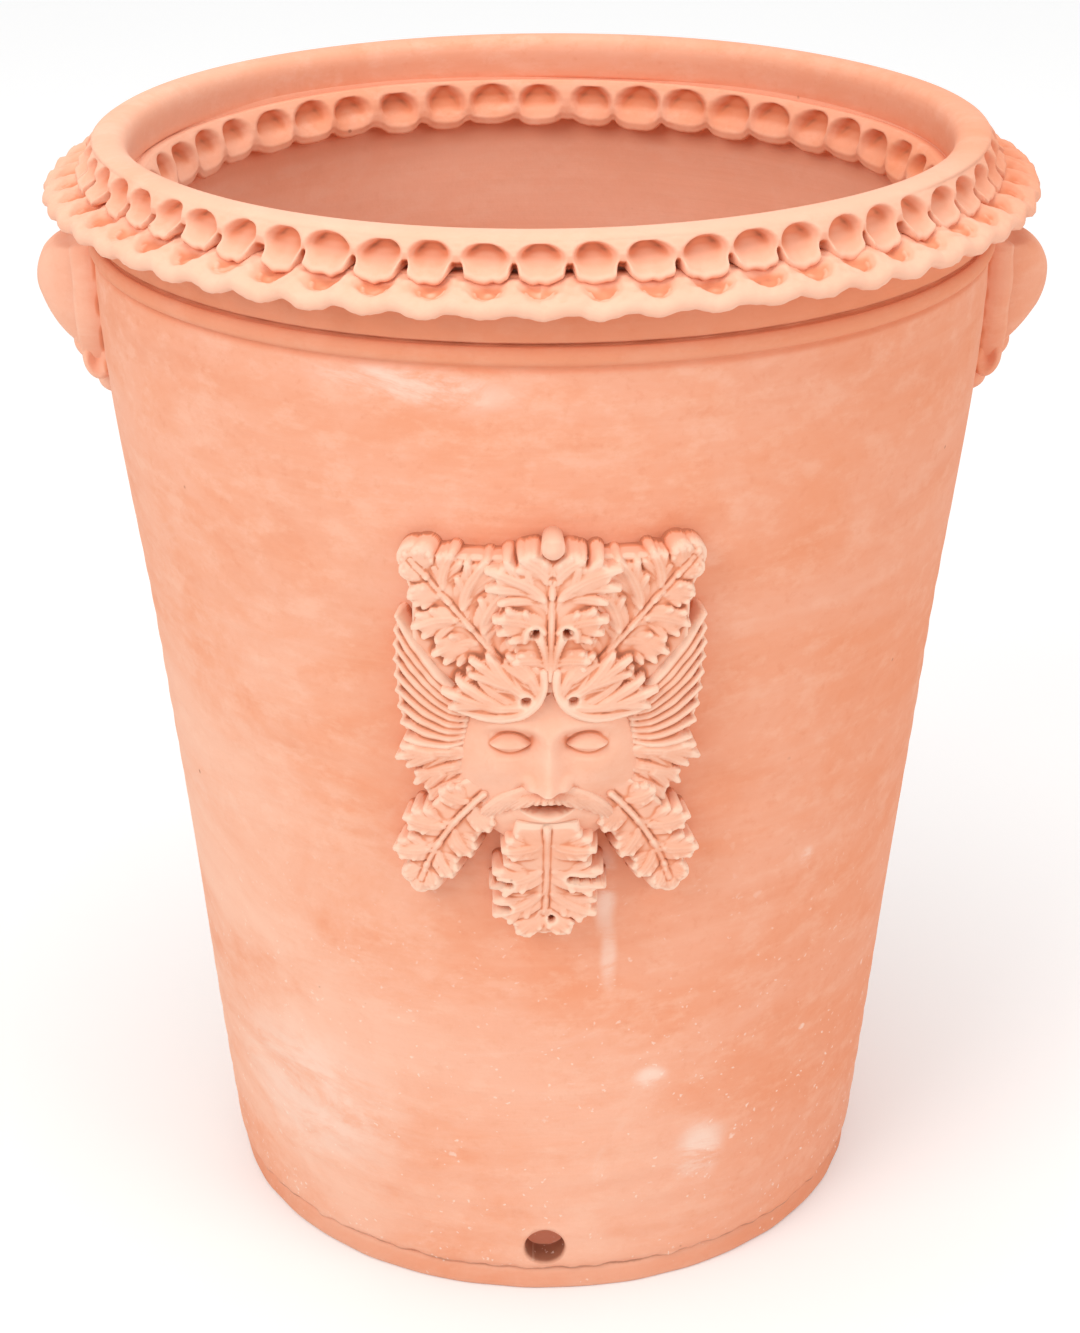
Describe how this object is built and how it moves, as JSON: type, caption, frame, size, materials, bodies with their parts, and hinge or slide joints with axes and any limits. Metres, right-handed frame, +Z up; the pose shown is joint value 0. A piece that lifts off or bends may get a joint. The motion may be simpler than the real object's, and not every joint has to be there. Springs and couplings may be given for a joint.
{
  "type": "terracotta flower pot",
  "caption": "Tall tapering terracotta floor pot with thumb-pressed rim bands, two ear handles, a foliate mask on the front and a drain hole at the foot.",
  "frame": {"origin": "middle of the foot, on the floor", "axes": "+Z up the pot's axis; the mask and the drain hole face -Y; the handles stand at -X and +X"},
  "size_m": [0.5388, 0.5178, 0.61],
  "materials": {
    "wall_clay": "matt unglazed terracotta",
    "rim_clay": "matt unglazed terracotta",
    "mask_clay": "matt unglazed terracotta, paler on its raised edges"
  },
  "bodies": {
    "root": {"base_slab": "wall_clay", "lower_wall": "wall_clay", "upper_wall": "wall_clay", "neck_cordon": "wall_clay", "rim_lip": "rim_clay", "outer_thumb_band": "rim_clay", "rim_frill": "rim_clay", "inner_thumb_band": "rim_clay", "left_handle_ear": "rim_clay", "left_handle_bud": "rim_clay", "right_handle_ear": "rim_clay", "right_handle_bud": "rim_clay", "mask_face": "mask_clay", "mask_moustache": "mask_clay", "mask_crown_leaf": "mask_clay", "mask_beard_leaf": "mask_clay", "mask_berry": "mask_clay", "mask_brow_leaf_left": "mask_clay", "mask_brow_leaf_right": "mask_clay", "mask_ear_leaf_left": "mask_clay", "mask_ear_leaf_right": "mask_clay", "mask_cheek_leaf_left": "mask_clay", "mask_cheek_leaf_right": "mask_clay", "mask_jaw_leaf_left": "mask_clay", "mask_jaw_leaf_right": "mask_clay"}
  },
  "joints": []
}
